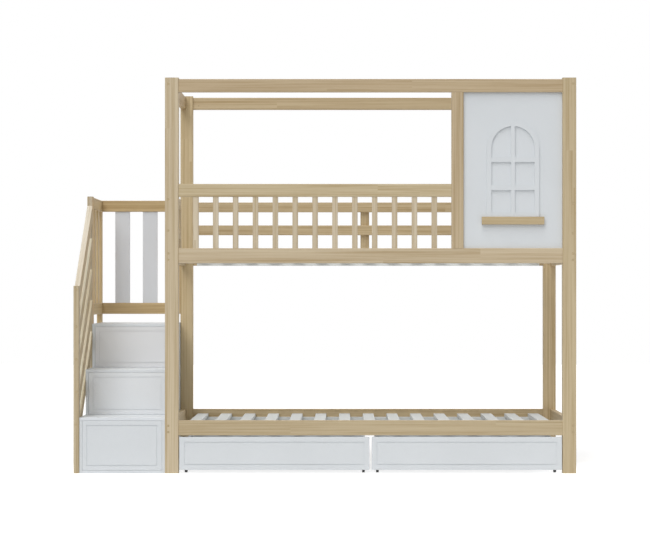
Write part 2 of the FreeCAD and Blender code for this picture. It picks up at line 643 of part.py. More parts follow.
def slanted_slat(name, drop):
    """A slat cut upright at both ends to butt against the posts, lowered by a formula."""
    body = doc.addObject("PartDesign::Body", name)
    sketch = sketch_on(body, f"{name}_profile", "YZ_Plane")
    outline(sketch, [(ZERO, ZERO), (SLOPE_RUN, SLOPE_RISE),
                     (SLOPE_RUN, f"{SLOPE_RISE} + dims.slope_slat_depth"), (ZERO, "dims.slope_slat_depth")])
    pad = body.newObject("PartDesign::Pad", f"{name}_pad")
    pad.Profile = sketch
    pad.setExpression("Length", "dims.stair_frame_thickness")
    doc.recompute()
    runs = [edge.Vertexes[1].Point - edge.Vertexes[0].Point for edge in pad.Shape.Edges]
    long_edges = [f"Edge{n}" for n, run in enumerate(runs, start=1) if run.y and run.z]
    eased = body.newObject("PartDesign::Fillet", f"{name}_eased")
    eased.Base = (pad, long_edges)
    eased.setExpression("Radius", "dims.edge_rounding")
    place(body, (FRAME_LEFT, SLOPE_START, f"dims.handrail_low_top - dims.slope_slat_depth - {drop}"))
    return body


timbers["handrail"] = slanted_slat("handrail_timber", ZERO)
slat_names = [f"slope_slat_{n}" for n in range(1, int(value("dims.slope_slat_count")) + 1)]
slat_drops = {name: f"(dims.first_slat_drop + {n} * dims.slope_slat_pitch)"
              for n, name in enumerate(slat_names)}
SLOPE_MIDDLE_X = f"({FRAME_LEFT} + dims.stair_frame_thickness / 2)"
bolt("handrail_bolt", ("stair_front_post", "handrail"),
     (SLOPE_MIDDLE_X, FRONT, "dims.handrail_low_top - dims.handrail_bolt_drop"),
     "y", "dims.stair_front_post_depth", "dims.slope_bolt_bite")
for name, drop in slat_drops.items():
    timbers[name] = slanted_slat(f"{name}_timber", drop)
    bolt(f"{name}_bolt", ("stair_front_post", name),
         (SLOPE_MIDDLE_X, FRONT, f"dims.handrail_low_top - dims.slope_bolt_drop - {drop}"),
         "y", "dims.stair_front_post_depth", "dims.slope_bolt_bite")
for name, drop in {"handrail": ZERO, **slat_drops}.items():
    bolt(f"{name}_high_bolt", ("stair_middle_post", name),
         (SLOPE_MIDDLE_X, f"({MIDDLE_POST_Y} + dims.stair_middle_post_depth)",
          f"dims.handrail_high_top - dims.high_slope_bolt_drop - {drop}"),
         "-y", "dims.stair_middle_post_depth", "dims.slope_bolt_bite")
keep("stair_front_post", drill("stair_front_post", timbers["stair_front_post"]))
keep("stair_middle_post", drill("stair_middle_post", timbers["stair_middle_post"]))
keep("stair_rear_post", timbers["stair_rear_post"])
keep("handrail", drill("handrail", timbers["handrail"]))
group("stair_guard_slats", [drill(name, timbers[name]) for name in slat_names])
group("frame_bolts", bolts)
group("barrel_nuts", nuts)

# The landing is guarded on its outer side and at the wall by two rails and slats between them.
LANDING_RAILS = ("dims.landing_guard_bottom", "dims.landing_guard_top - dims.landing_rail_height")
SLAT_FOOT = "(dims.landing_guard_bottom + dims.landing_rail_height)"
SLAT_RISE = f"(dims.landing_guard_top - dims.landing_rail_height - {SLAT_FOOT})"
SIDE_RUN_START = f"({MIDDLE_POST_Y} + dims.stair_middle_post_depth)"
SIDE_RUN = f"({REAR_POST_Y} - {SIDE_RUN_START})"
group("landing_side_rails", [
    board(f"landing_side_rail_{n}", ("dims.stair_frame_thickness", SIDE_RUN, "dims.landing_rail_height"),
          (FRAME_LEFT, SIDE_RUN_START, bottom), "y")
    for n, bottom in enumerate(LANDING_RAILS)])
LANDING_SLATS = range(int(value("dims.landing_slat_count")))
SIDE_SLAT_GAP = (f"(({SIDE_RUN} - dims.landing_slat_count * dims.landing_side_slat_width)"
                 " / (dims.landing_slat_count + 1))")
group("landing_side_slats", [
    board(f"landing_side_slat_{n}",
          ("dims.landing_side_slat_thickness", "dims.landing_side_slat_width", SLAT_RISE),
          (f"{SLOPE_MIDDLE_X} - dims.landing_side_slat_thickness / 2",
           f"{SIDE_RUN_START} + {SIDE_SLAT_GAP} + {n} * ({SIDE_SLAT_GAP} + dims.landing_side_slat_width)",
           SLAT_FOOT), "z")
    for n in LANDING_SLATS])
STILE_LEFT = f"({BED_LEFT} - dims.landing_stile_width)"
REAR_RUN = f"({STILE_LEFT} - {BOX_LEFT})"
GUARD_Y = f"({STAIR_BACK} - dims.rail_thickness)"
group("landing_rear_rails", [
    board(f"landing_rear_rail_{n}", (REAR_RUN, "dims.rail_thickness", "dims.landing_rail_height"),
          (BOX_LEFT, GUARD_Y, bottom))
    for n, bottom in enumerate(LANDING_RAILS)])
REAR_SLAT_GAP = (f"(({REAR_RUN} - dims.landing_slat_count * dims.landing_slat_width)"
                 " / (dims.landing_slat_count + 1))")
group("landing_rear_slats", [
    board(f"landing_rear_slat_{n}",
          ("dims.landing_slat_width", "dims.landing_slat_thickness", SLAT_RISE),
          (f"{BOX_LEFT} + {REAR_SLAT_GAP} + {n} * ({REAR_SLAT_GAP} + dims.landing_slat_width)",
           f"{GUARD_Y} + (dims.rail_thickness - dims.landing_slat_thickness) / 2", SLAT_FOOT), "z")
    for n in LANDING_SLATS])
keep("landing_rear_stile", board(
    "landing_stile", ("dims.landing_stile_width", "dims.rail_thickness",
                      "dims.landing_guard_top - dims.landing_guard_bottom"),
    (STILE_LEFT, GUARD_Y, "dims.landing_guard_bottom"), "z"))


def grooved_front(name, width, height, corner, groove_margin):
    """A painted drawer front with a square groove routed round its face."""
    body = board(name, (width, "dims.front_thickness", height), corner, "x", "dims.panel_rounding")
    sketch = sketch_on(body, f"{name}_groove_lines", "XZ_Plane")
    for margin in (groove_margin, f"({groove_margin} + dims.groove_width)"):
        outline(sketch, [(margin, margin), (f"{width} - {margin}", margin),
                         (f"{width} - {margin}", f"{height} - {margin}"), (margin, f"{height} - {margin}")])
    groove = body.newObject("PartDesign::Pocket", f"{name}_groove")
    groove.Profile = sketch
    groove.setExpression("Length", "dims.groove_depth")
    return body


def drawer_box(name, width, depth, height, bottom_thickness, corner):
    """Two sides, a back between them and a bottom board, open on top."""
    x, y, z = corner
    inner_width = f"({width} - 2 * dims.box_board)"
    inner_left = f"{x} + dims.box_board"
    side_size = ("dims.box_board", depth, height)
    sides = [board(f"{name}_{side}", side_size, (across, y, z), "y", "dims.panel_rounding")
             for side, across in (("left", x), ("right", f"{x} + {width} - dims.box_board"))]
    back = board(f"{name}_back", (inner_width, "dims.box_board", height),
                 (inner_left, f"{y} + {depth} - dims.box_board", z), "x", "dims.panel_rounding")
    floor = board(f"{name}_floor", (inner_width, f"{depth} - dims.box_board", bottom_thickness),
                  (inner_left, y, z), "x", None)
    return sides + [back, floor]


# A drawer fills each step behind its inset front, and rides on the two runners.
STEP_FRONT_WIDTH = f"({BOX_CLEAR_WIDTH} - 2 * dims.front_gap)"
STEP_BOX_WIDTH = f"({BOX_CLEAR_WIDTH} - 2 * dims.step_box_side_gap)"
for step, (floor, front, top) in STEPS.items():
    keep(f"{step}_step_front", grooved_front(
        f"{step}_step_panel", STEP_FRONT_WIDTH, f"({top} - dims.stair_panel - {floor} - 2 * dims.front_gap)",
        (f"{BOX_CLEAR_LEFT} + dims.front_gap", front, f"{floor} + dims.front_gap"),
        "dims.step_groove_margin"))
    group(f"{step}_step_box", drawer_box(
        f"{step}_step_box", STEP_BOX_WIDTH, STEP_BOX_DEPTH, "dims.step_box_height",
        "dims.box_bottom_thickness",
        (f"{BOX_CLEAR_LEFT} + dims.step_box_side_gap", f"{front} + dims.front_thickness",
         f"{floor} + dims.runner_height + dims.running_gap")))

# Two wide drawers on fixed castors roll on the floor under the lower bunk.
DRAWER_WIDTH = f"(({CLEAR_LENGTH} - 2 * dims.drawer_side_gap - dims.drawer_middle_gap) / 2)"
DRAWER_BOX_WIDTH = f"({DRAWER_WIDTH} - 2 * dims.drawer_box_inset)"
DRAWER_BOX_Y = f"({FRONT_RAIL_Y} + dims.front_thickness)"
DRAWER_LEFTS = {
    "left": f"({CLEAR_LEFT} + dims.drawer_side_gap)",
    "right": f"({CLEAR_RIGHT} - dims.drawer_side_gap - {DRAWER_WIDTH})",
}
WHEEL_ROWS = {
    "front": f"({FRONT_RAIL_Y} + dims.castor_front_distance)",
    "rear": f"({DRAWER_BOX_Y} + dims.drawer_box_depth - dims.castor_front_distance)",
}
CHEEK_GAP = "(dims.wheel_width + 2 * dims.wheel_side_gap)"
CASTOR_WIDTH = f"({CHEEK_GAP} + 2 * dims.castor_cheek)"
CASTOR_RISE = "(dims.drawer_box_bottom - dims.wheel_radius + dims.castor_cheek_reach)"


def castor(name, middle, y):
    """A folded steel bracket: a top plate, two cheeks and the axle riveted through them."""
    body = doc.addObject("PartDesign::Body", name)
    half_wide = "(dims.castor_plate_length / 2)"
    half_narrow = "(dims.castor_cheek_length / 2)"
    shoulder = f"({CASTOR_RISE} - dims.castor_plate)"
    profile = sketch_on(body, f"{name}_cheek_lines", "YZ_Plane")
    outline(profile, [
        (f"{half_wide} - {half_narrow}", ZERO), (f"{half_wide} + {half_narrow}", ZERO),
        ("dims.castor_plate_length", shoulder), ("dims.castor_plate_length", CASTOR_RISE),
        (ZERO, CASTOR_RISE), (ZERO, shoulder)])
    blank = body.newObject("PartDesign::Pad", f"{name}_blank")
    blank.Profile = profile
    blank.setExpression("Length", CASTOR_WIDTH)
    slot = body.newObject("PartDesign::SubtractiveBox", f"{name}_wheel_slot")
    slot.setExpression("Length", CHEEK_GAP)
    slot.setExpression("Width", "dims.castor_plate_length")
    slot.setExpression("Height", shoulder)
    place(slot, ("dims.castor_cheek", ZERO, ZERO))
    axle = body.newObject("PartDesign::AdditiveCylinder", f"{name}_axle")
    axle.setExpression("Radius", "dims.axle_radius")
    axle.setExpression("Height", CASTOR_WIDTH)
    axle.Placement = FreeCAD.Placement(FreeCAD.Vector(), TURNS["x"])
    place(axle, (ZERO, half_wide, "dims.castor_cheek_reach"))
    place(body, (f"{middle} - {CASTOR_WIDTH} / 2", f"{y} - {half_wide}",
                 "dims.wheel_radius - dims.castor_cheek_reach"))
    return body


def wheel(name, middle, y):
    """A moulded wheel turned about its axle: a tread with eased edges and a sunk face round the hub."""
    body = doc.addObject("PartDesign::Body", name)
    profile = sketch_on(body, f"{name}_half_section", "XZ_Plane")
    bore = "(dims.axle_radius + dims.axle_fit)"
    rim = "(dims.wheel_radius - 2 * dims.wheel_edge)"
    outline(profile, [
        (ZERO, bore), (ZERO, "dims.hub_radius"), ("dims.hub_recess", "dims.hub_radius"),
        ("dims.hub_recess", rim), (ZERO, rim), (ZERO, "dims.wheel_radius - dims.wheel_edge"),
        ("dims.wheel_edge", "dims.wheel_radius"), ("dims.wheel_width - dims.wheel_edge", "dims.wheel_radius"),
        ("dims.wheel_width", "dims.wheel_radius - dims.wheel_edge"), ("dims.wheel_width", rim),
        ("dims.wheel_width - dims.hub_recess", rim),
        ("dims.wheel_width - dims.hub_recess", "dims.hub_radius"),
        ("dims.wheel_width", "dims.hub_radius"), ("dims.wheel_width", bore)])
    turned = body.newObject("PartDesign::Revolution", f"{name}_turned")
    turned.Profile = profile
    turned.ReferenceAxis = (profile, ["H_Axis"])
    place(body, (f"{middle} - dims.wheel_width / 2", y, "dims.wheel_radius"))
    return body


for side, left in DRAWER_LEFTS.items():
    keep(f"{side}_drawer_front", grooved_front(
        f"{side}_drawer_panel", DRAWER_WIDTH, "dims.drawer_front_height",
        (left, FRONT_RAIL_Y, "dims.drawer_front_bottom"), "dims.drawer_groove_margin"))
    group(f"{side}_drawer_box", drawer_box(
        f"{side}_drawer_box", DRAWER_BOX_WIDTH, "dims.drawer_box_depth", "dims.drawer_box_height",
        "dims.drawer_bottom_thickness",
        (f"{left} + dims.drawer_box_inset", DRAWER_BOX_Y, "dims.drawer_box_bottom")))
    middles = (f"({left} + dims.castor_end_distance)",
               f"({left} + {DRAWER_WIDTH} - dims.castor_end_distance)")
    group(f"{side}_drawer_castors", [
        castor(f"{side}_{row}_castor_{n}", middle, y)
        for row, y in WHEEL_ROWS.items() for n, middle in enumerate(middles)])
    for row, y in WHEEL_ROWS.items():
        group(f"{side}_drawer_{row}_wheels", [
            wheel(f"{side}_{row}_wheel_{n}", middle, y) for n, middle in enumerate(middles)])

doc.recompute()

# Nothing is written unless every object came out whole.
failed = [thing.Name for thing in doc.Objects if {"Invalid", "Error"} & set(thing.State)]
if failed:
    raise RuntimeError(f"failed objects: {failed}")
for part in nodes:
    if part.Shape.isNull() or not part.Shape.isValid():
        raise RuntimeError(f"bad shape: {part.Label}")

os.makedirs("parts", exist_ok=True)
for part in nodes:
    part.Shape.exportStep(f"parts/{part.Label}.step")
print(len(nodes), "sub-parts,", sum(len(part.Shape.Solids) for part in nodes), "solids")
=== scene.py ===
import math
import bpy
import mathutils
import numpy as np
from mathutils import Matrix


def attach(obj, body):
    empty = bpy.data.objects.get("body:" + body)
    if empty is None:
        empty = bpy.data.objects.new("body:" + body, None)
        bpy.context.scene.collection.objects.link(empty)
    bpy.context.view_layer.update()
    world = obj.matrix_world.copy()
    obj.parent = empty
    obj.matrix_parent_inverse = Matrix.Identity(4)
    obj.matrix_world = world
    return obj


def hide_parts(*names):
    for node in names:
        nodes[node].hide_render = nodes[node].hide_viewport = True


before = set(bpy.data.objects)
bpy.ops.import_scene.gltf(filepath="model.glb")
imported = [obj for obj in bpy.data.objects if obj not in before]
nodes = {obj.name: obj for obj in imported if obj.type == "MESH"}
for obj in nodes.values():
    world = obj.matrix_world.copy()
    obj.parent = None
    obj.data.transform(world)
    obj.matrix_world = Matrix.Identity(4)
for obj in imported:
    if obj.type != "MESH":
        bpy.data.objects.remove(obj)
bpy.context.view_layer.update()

# The studio round the bed: a seamless pale floor, a white surround, and broad far-off lamps on the left,
# in front, overhead and, weaker, behind. The camera stands level, ten metres in front of the bed.
CAMERA_PLACE = (0.088, -10.324, 0.922)
LENS = 107.8
FRAME_SHIFT = (-0.0266, 0.0238)
WORLD_FILL = 0.29
WHITE = (1, 1, 1, 1)
# Each lamp's name, the direction towards it, its angular size in radians and its strength.
LAMPS = (
    ("key_lamp", (-0.33, -0.68, 0.65), 0.45, 0.85),
    ("front_lamp", (-0.10, -0.90, 0.42), 0.45, 0.33),
    ("top_lamp", (-0.10, -0.33, 0.94), 0.60, 1.32),
    ("wall_lamp", (0.66, 0.64, 0.39), 0.60, 0.55),
)


def add_node(tree, kind, inputs=(), **settings):
    """One shader node: its own settings, then each input from a plain value or another node's socket."""
    made = tree.nodes.new(kind)
    for key, setting in settings.items():
        setattr(made, key, setting)
    for key, given in dict(inputs).items():
        if isinstance(given, bpy.types.NodeSocket):
            tree.links.new(given, made.inputs[key])
        else:
            made.inputs[key].default_value = given
    return made


def seen_directly(tree):
    """1 for rays from the camera, or by way of a mirror or glass, and 0 for all other rays."""
    path = add_node(tree, "ShaderNodeLightPath").outputs
    mirrored = add_node(tree, "ShaderNodeMath", {0: path["Is Glossy Ray"], 1: path["Is Transmission Ray"]},
                        operation="MAXIMUM")
    return add_node(tree, "ShaderNodeMath", {0: path["Is Camera Ray"], 1: mirrored.outputs[0]},
                    operation="MAXIMUM").outputs[0]


scene = bpy.context.scene
scene.view_settings.view_transform = "Standard"
world = bpy.data.worlds.new("white_surround")
scene.world = world
world.use_nodes = True
sky = world.node_tree
sky.nodes.clear()
fill = add_node(sky, "ShaderNodeBackground", {"Color": WHITE, "Strength": WORLD_FILL})
white = add_node(sky, "ShaderNodeBackground", {"Color": WHITE, "Strength": 1.0})
surround = add_node(sky, "ShaderNodeMixShader",
                    {0: seen_directly(sky), 1: fill.outputs[0], 2: white.outputs[0]})
add_node(sky, "ShaderNodeOutputWorld", {"Surface": surround.outputs[0]})

for name, side, spread, strength in LAMPS:
    lamp = bpy.data.lights.new(name, "SUN")
    lamp.angle = spread
    lamp.energy = strength
    lamp_object = bpy.data.objects.new(name, lamp)
    scene.collection.objects.link(lamp_object)
    lamp_object.rotation_euler = mathutils.Vector(side).to_track_quat("Z", "Y").to_euler()

camera = bpy.data.cameras.new("front_camera")
camera.lens = LENS
camera.shift_x, camera.shift_y = FRAME_SHIFT
camera_object = bpy.data.objects.new("front_camera", camera)
scene.collection.objects.link(camera_object)
camera_object.location = CAMERA_PLACE
camera_object.rotation_euler = (math.pi / 2, 0, 0)
scene.camera = camera_object

# The floor is matt and pale. Seen directly it glows towards the white of the surround. This painted light is
# strongest in front of the bed, where it covers the bed's shadow, and weaker towards the wall, where the
# bed's soft shadow shows.
FLOOR_HALF = 14.0
FLOOR_GREY = (0.82, 0.82, 0.82, 1)
FRONT_LIFT = 0.82
WALL_LIFT = 0.40
LIFT_FALLS_FROM = -0.30
LIFT_FALLS_TO = 0.20
floor_mesh = bpy.data.meshes.new("floor")
floor_corners = [(-FLOOR_HALF, -FLOOR_HALF, 0), (FLOOR_HALF, -FLOOR_HALF, 0),
                 (FLOOR_HALF, FLOOR_HALF, 0), (-FLOOR_HALF, FLOOR_HALF, 0)]
floor_mesh.from_pydata(floor_corners, [], [(0, 1, 2, 3)])
floor = bpy.data.objects.new("floor", floor_mesh)
scene.collection.objects.link(floor)
floor_finish = bpy.data.materials.new("pale_floor")
floor_finish.use_nodes = True
pale = floor_finish.node_tree
pale.nodes.clear()
matt = add_node(pale, "ShaderNodeBsdfDiffuse", {"Color": FLOOR_GREY})
spot = add_node(pale, "ShaderNodeTexCoord").outputs["Object"]
towards_wall = add_node(pale, "ShaderNodeSeparateXYZ", {0: spot}).outputs["Y"]
# Painted light: the glow is strongest in front of the bed and fades towards the wall.
level = add_node(pale, "ShaderNodeMapRange",
                 {"Value": towards_wall, "From Min": LIFT_FALLS_FROM, "From Max": LIFT_FALLS_TO,
                  "To Min": FRONT_LIFT, "To Max": WALL_LIFT}).outputs[0]
lift = add_node(pale, "ShaderNodeMath", {0: seen_directly(pale), 1: level}, operation="MULTIPLY")
glow = add_node(pale, "ShaderNodeEmission", {"Color": WHITE, "Strength": lift.outputs[0]})
both = add_node(pale, "ShaderNodeAddShader", {0: matt.outputs[0], 1: glow.outputs[0]})
add_node(pale, "ShaderNodeOutputMaterial", {"Surface": both.outputs[0]})
floor_mesh.materials.append(floor_finish)


# Four posts carry the bed. They are planed from glued pine staves with the grain upright, eased along
# their long edges, and finished with a clear matt lacquer. Their cut ends show the growth rings.
STAVE_WIDTH = 0.046
STAVE_LENGTH = 2.3
STAVE_STARTS = 9.0
STAVE_TINTS = ((0.0, (0.95, 0.935, 0.91)), (0.5, (0.98, 0.97, 0.955)), (1.0, (1.0, 0.99, 0.98)))
SEED_SHIFT = (0.37, 0.011, 0.007)
BAND_STRETCH = (1.1, 84, 84)
LINE_STRETCH = (2.2, 210, 210)
FIBRE_STRETCH = (16, 900, 900)
BAND_SHARE = 0.5
LINE_SHARE = 0.35
FIBRE_SHARE = 0.15
LATE_WOOD_AT = 0.37
LATE_WOOD = (0.78, 0.72, 0.60)
MEAN_WOOD_AT = 0.50
EARLY_WOOD_AT = 0.62
EARLY_WOOD = (1.11, 1.14, 1.18)
RING_PITCH = 0.0042
RING_WANDER = 0.006
RING_NOISE = (40, 40, 40)
HEART_SPAN = 0.06
HEART_ASIDE = 0.02
HEART_BELOW = 0.03
RING_START = 0.94
RING_MIDDLE_AT = 0.7
RING_MIDDLE = (0.84, 0.80, 0.72)
RING_LATE = (0.66, 0.58, 0.48)
END_ON = 0.8
SIDE_ON = 0.7
PINE_ROUGHNESS = 0.40
PINE_ROUGHNESS_RANGE = 0.22
PINE_RELIEF = 0.22
PINE_RELIEF_DEPTH = 0.0006
GRAIN_TURNS = {
    "x": (0, 0, 0),
    "y": (0, 0, -math.pi / 2),
    "z": (0, math.pi / 2, 0),
}


def from_screen(red, green, blue):
    """A colour given as 0 to 255 screen values, as the linear values that a shader takes: the screen's
    curve undone, a straight line near black and a power of 2.4 above it."""
    share = np.array([red, green, blue]) / 255
    return np.where(share <= 0.04045, share / 12.92, ((share + 0.055) / 1.055) ** 2.4)


def new_finish(name):
    """An empty material and its node tree."""
    finish = bpy.data.materials.new(name)
    finish.use_nodes = True
    finish.node_tree.nodes.clear()
    return finish, finish.node_tree


def ramp(tree, factor, *stops):
    """A colour ramp through stops, each a position from 0 to 1 and a linear colour."""
    made = add_node(tree, "ShaderNodeValToRGB", {0: factor})
    elements = made.color_ramp.elements
    while len(elements) < len(stops):
        elements.new(0.5)
    for element, (position, colour) in zip(elements, stops):
        element.position = position
        element.color = (*np.clip(colour, 0, 1).tolist(), 1)
    return made.outputs[0]


def surface(tree, **sockets):
    """The finished shader: sockets by their names, with spaces written as underscores."""
    named = {key.replace("_", " "): given for key, given in sockets.items()}
    shader = add_node(tree, "ShaderNodeBsdfPrincipled", named)
    add_node(tree, "ShaderNodeOutputMaterial", {"Surface": shader.outputs[0]})


def pine(name, grain, tone, seed, painted_light_tone=None):
    """Glued pine. Along each board: a slow tone for each stave, early and late wood as noise drawn out along
    the grain, finer fibres over it. Across the grain: rings at equal steps of distance from a heart outside
    the board, wherever the surface looks along the grain. A board of the side frame may take a second tone
    on the faces that don't look along the bed: painted light and shade, set by the way each face turns to
    the lamps."""
    finish, tree = new_finish(name)
    turn = GRAIN_TURNS[grain] if isinstance(grain, str) else grain

    def step(operation, first, second=0.0):
        """One sum on sockets or numbers."""
        return add_node(tree, "ShaderNodeMath", {0: first, 1: second}, operation=operation).outputs[0]

    def drawn_out(place, stretch, roughness):
        """Noise whose grains are stretched by a factor for each axis."""
        scaled = add_node(tree, "ShaderNodeVectorMath", {0: place, 1: stretch}, operation="MULTIPLY")
        return add_node(tree, "ShaderNodeTexNoise",
                        {"Vector": scaled.outputs[0], "Scale": 1.0, "Detail": 2.0,
                         "Roughness": roughness}).outputs[0]

    place = add_node(tree, "ShaderNodeTexCoord").outputs
    shift = tuple(seed * part for part in SEED_SHIFT)
    along = add_node(tree, "ShaderNodeMapping",
                     {"Vector": place["Object"], "Rotation": turn, "Location": shift}).outputs[0]
    axes = add_node(tree, "ShaderNodeSeparateXYZ", {0: along}).outputs
    across = step("FLOOR", step("DIVIDE", axes["Y"], STAVE_WIDTH))
    deep = step("FLOOR", step("DIVIDE", axes["Z"], STAVE_WIDTH))
    stave = add_node(tree, "ShaderNodeCombineXYZ", {0: across, 1: deep, 2: seed}).outputs[0]
    start = add_node(tree, "ShaderNodeTexWhiteNoise", {"Vector": stave},
                     noise_dimensions="3D").outputs["Value"]
    begun = step("MULTIPLY", start, STAVE_STARTS)
    length = step("FLOOR", step("ADD", step("DIVIDE", axes["X"], STAVE_LENGTH), begun))
    block = add_node(tree, "ShaderNodeCombineXYZ", {0: across, 1: deep, 2: length}).outputs[0]
    tint = add_node(tree, "ShaderNodeTexWhiteNoise", {"Vector": block, "W": seed},
                    noise_dimensions="4D").outputs
    slipped = add_node(tree, "ShaderNodeVectorMath", {0: along, 1: tint["Color"]},
                       operation="ADD").outputs[0]

    bands = drawn_out(slipped, BAND_STRETCH, 0.5)
    lines = drawn_out(slipped, LINE_STRETCH, 0.6)
    fibres = drawn_out(slipped, FIBRE_STRETCH, 0.6)
    fine = step("ADD", step("MULTIPLY", lines, LINE_SHARE), step("MULTIPLY", fibres, FIBRE_SHARE))
    side_grain = step("ADD", step("MULTIPLY", bands, BAND_SHARE), fine)
    heart_y = step("ADD", step("PINGPONG", axes["Y"], HEART_SPAN), HEART_ASIDE)
    heart_z = step("ADD", step("PINGPONG", axes["Z"], HEART_SPAN), HEART_BELOW)
    squares = step("ADD", step("MULTIPLY", heart_y, heart_y), step("MULTIPLY", heart_z, heart_z))
    wander = step("MULTIPLY", drawn_out(along, RING_NOISE, 0.5), RING_WANDER)
    rings = step("FRACT", step("DIVIDE", step("ADD", step("SQRT", squares), wander), RING_PITCH))
    facing = add_node(tree, "ShaderNodeMapping", {"Vector": place["Normal"], "Rotation": turn},
                      vector_type="NORMAL").outputs[0]
    lengthwise = add_node(tree, "ShaderNodeSeparateXYZ", {0: facing}).outputs["X"]
    end_on = step("GREATER_THAN", step("ABSOLUTE", lengthwise), END_ON)

    def planed(light):
        """Grain in one mean colour: brown late wood, the colour itself and paler early wood."""
        return ramp(tree, side_grain, (LATE_WOOD_AT, light * LATE_WOOD), (MEAN_WOOD_AT, light),
                    (EARLY_WOOD_AT, light * EARLY_WOOD))

    base = from_screen(*tone)
    plank = planed(base)
    # Painted light and shade: the faces that don't look along the bed take the second tone.
    if painted_light_tone:
        sideways = add_node(tree, "ShaderNodeSeparateXYZ", {0: place["Normal"]}).outputs["X"]
        painted_light_faces = step("LESS_THAN", step("ABSOLUTE", sideways), SIDE_ON)
        painted_light_colour = planed(from_screen(*painted_light_tone))
        plank = add_node(tree, "ShaderNodeMixRGB", {0: painted_light_faces, 1: plank, 2: painted_light_colour}).outputs[0]
    cut = ramp(tree, rings, (0.0, base * RING_START), (RING_MIDDLE_AT, base * RING_MIDDLE),
               (1.0, base * RING_LATE))
    hue = ramp(tree, tint["Value"], *STAVE_TINTS)
    shown = add_node(tree, "ShaderNodeMixRGB", {0: end_on, 1: plank, 2: cut}).outputs[0]
    colour = add_node(tree, "ShaderNodeMixRGB", {0: 1.0, 1: shown, 2: hue}, blend_type="MULTIPLY").outputs[0]
    gloss = step("ADD", step("MULTIPLY", lines, PINE_ROUGHNESS_RANGE), PINE_ROUGHNESS)
    relief = add_node(tree, "ShaderNodeBump", {"Height": side_grain, "Strength": PINE_RELIEF,
                                               "Distance": PINE_RELIEF_DEPTH}).outputs[0]
    surface(tree, Base_Color=colour, Roughness=gloss, Normal=relief)
    return finish


def dress(node, finish):
    """Give a CAD node one finish all over."""
    slots = nodes[node].data.materials
    slots.clear()
    slots.append(finish)


# Each pine piece here and further on has its own mean tone, set so that it renders at the brightness
# measured for it under these lamps: the wood's own tone with some painted light and shade in it.
POSTS = (
    ("front_left_post", (195, 179, 150), 1),
    ("front_right_post", (187, 170, 137), 2),
    ("rear_left_post", (201, 181, 143), 3),
    ("rear_right_post", (208, 186, 147), 4),
)
for name, tone, seed in POSTS:
    dress(name, pine(f"pine_{name}", "z", tone, seed))

# Long and short rails close the frame at three levels. The same glued pine lies lengthwise in each,
# and bolts through the posts hold them.
PLAIN_PINE = (194, 173, 136)
RAILS = (
    ("front_roof_rail", "x", (183, 163, 131), 5),
    ("rear_roof_rail", "x", (189, 169, 134), 6),
    # The roof end rails take a darker tone: painted shade on inner faces that the lamps leave dark.
    ("roof_end_rails", "y", (175, 150, 109), 7),
    ("upper_front_rail", "x", (191, 174, 145), 8),
    ("upper_rear_rail", "x", PLAIN_PINE, 9),
    ("upper_end_rails", "y", PLAIN_PINE, 10),
    ("lower_front_rail", "x", (181, 164, 132), 11),
    ("lower_rear_rail", "x", PLAIN_PINE, 12),
    ("lower_end_rails", "y", PLAIN_PINE, 13),
)
for name, grain, tone, seed in RAILS:
    dress(name, pine(f"pine_{name}", grain, tone, seed))

# Guards stand round the upper bunk: a front rail on balusters, two rails at the wall, two at each end.
# They are pine like the frame, glued and dowelled where no bolt shows.
GUARDS = (
    ("front_guard_rail", "x", (193, 177, 144), 14),
    ("front_guard_balusters", "z", (198, 184, 159), 15),
    ("rear_guard_rails", "x", PLAIN_PINE, 16),
    ("end_guard_rails", "y", PLAIN_PINE, 17),
    ("guard_stiles", "z", PLAIN_PINE, 18),
)
for name, grain, tone, seed in GUARDS:
    dress(name, pine(f"pine_{name}", grain, tone, seed))


# Slats of white-lacquered pine lie loose across ledgers that are screwed inside the long rails.
# The lacquer is thin, so a trace of the fibres shows in its relief.
LACQUER_SHIFT = (0.31, 0.17, 0)
DRIFT_SCALE = 3.0
PEBBLE_SCALE = 620.0
FIBRE_TRACE = (6, 240, 240)
DRIFT_DARK = 0.975
DRIFT_LIGHT = 1.015
FILM_ROUGHNESS = (0.48, 0.60)
FILM_RELIEF = 0.12
FILM_DEPTH = 0.0003


def white_lacquer(name, tone, grain, seed):
    """Sprayed white lacquer: slow drifts of tone, a fine pebble in the film and traces of fibre."""
    finish, tree = new_finish(name)
    place = add_node(tree, "ShaderNodeTexCoord").outputs["Object"]
    shift = tuple(seed * part for part in LACQUER_SHIFT)
    along = add_node(tree, "ShaderNodeMapping",
                     {"Vector": place, "Rotation": GRAIN_TURNS[grain], "Location": shift}).outputs[0]
    drift = add_node(tree, "ShaderNodeTexNoise",
                     {"Vector": along, "Scale": DRIFT_SCALE, "Detail": 3.0}).outputs[0]
    pebble = add_node(tree, "ShaderNodeTexNoise",
                      {"Vector": along, "Scale": PEBBLE_SCALE, "Detail": 2.0}).outputs[0]
    stretched = add_node(tree, "ShaderNodeVectorMath", {0: along, 1: FIBRE_TRACE}, operation="MULTIPLY")
    fibres = add_node(tree, "ShaderNodeTexNoise",
                      {"Vector": stretched.outputs[0], "Scale": 1.0, "Detail": 2.0}).outputs[0]
    base = from_screen(*tone)
    colour = ramp(tree, drift, (0.3, base * DRIFT_DARK), (0.7, base * DRIFT_LIGHT))
    film = add_node(tree, "ShaderNodeMath", {0: pebble, 1: fibres}, operation="ADD").outputs[0]
    relief = add_node(tree, "ShaderNodeBump",
                      {"Height": film, "Strength": FILM_RELIEF, "Distance": FILM_DEPTH}).outputs[0]
    gloss = add_node(tree, "ShaderNodeMapRange", {"Value": drift, "To Min": FILM_ROUGHNESS[0],
                                                  "To Max": FILM_ROUGHNESS[1]}).outputs[0]
    surface(tree, Base_Color=colour, Roughness=gloss, Normal=relief)
    return finish


SLAT_WHITE = (223, 225, 223)
for name, grain, seed in (("upper_slats", "y", 21), ("lower_slats", "y", 22), ("slat_ledgers", "x", 23)):
    dress(name, white_lacquer(f"lacquer_{name}", SLAT_WHITE, grain, seed))

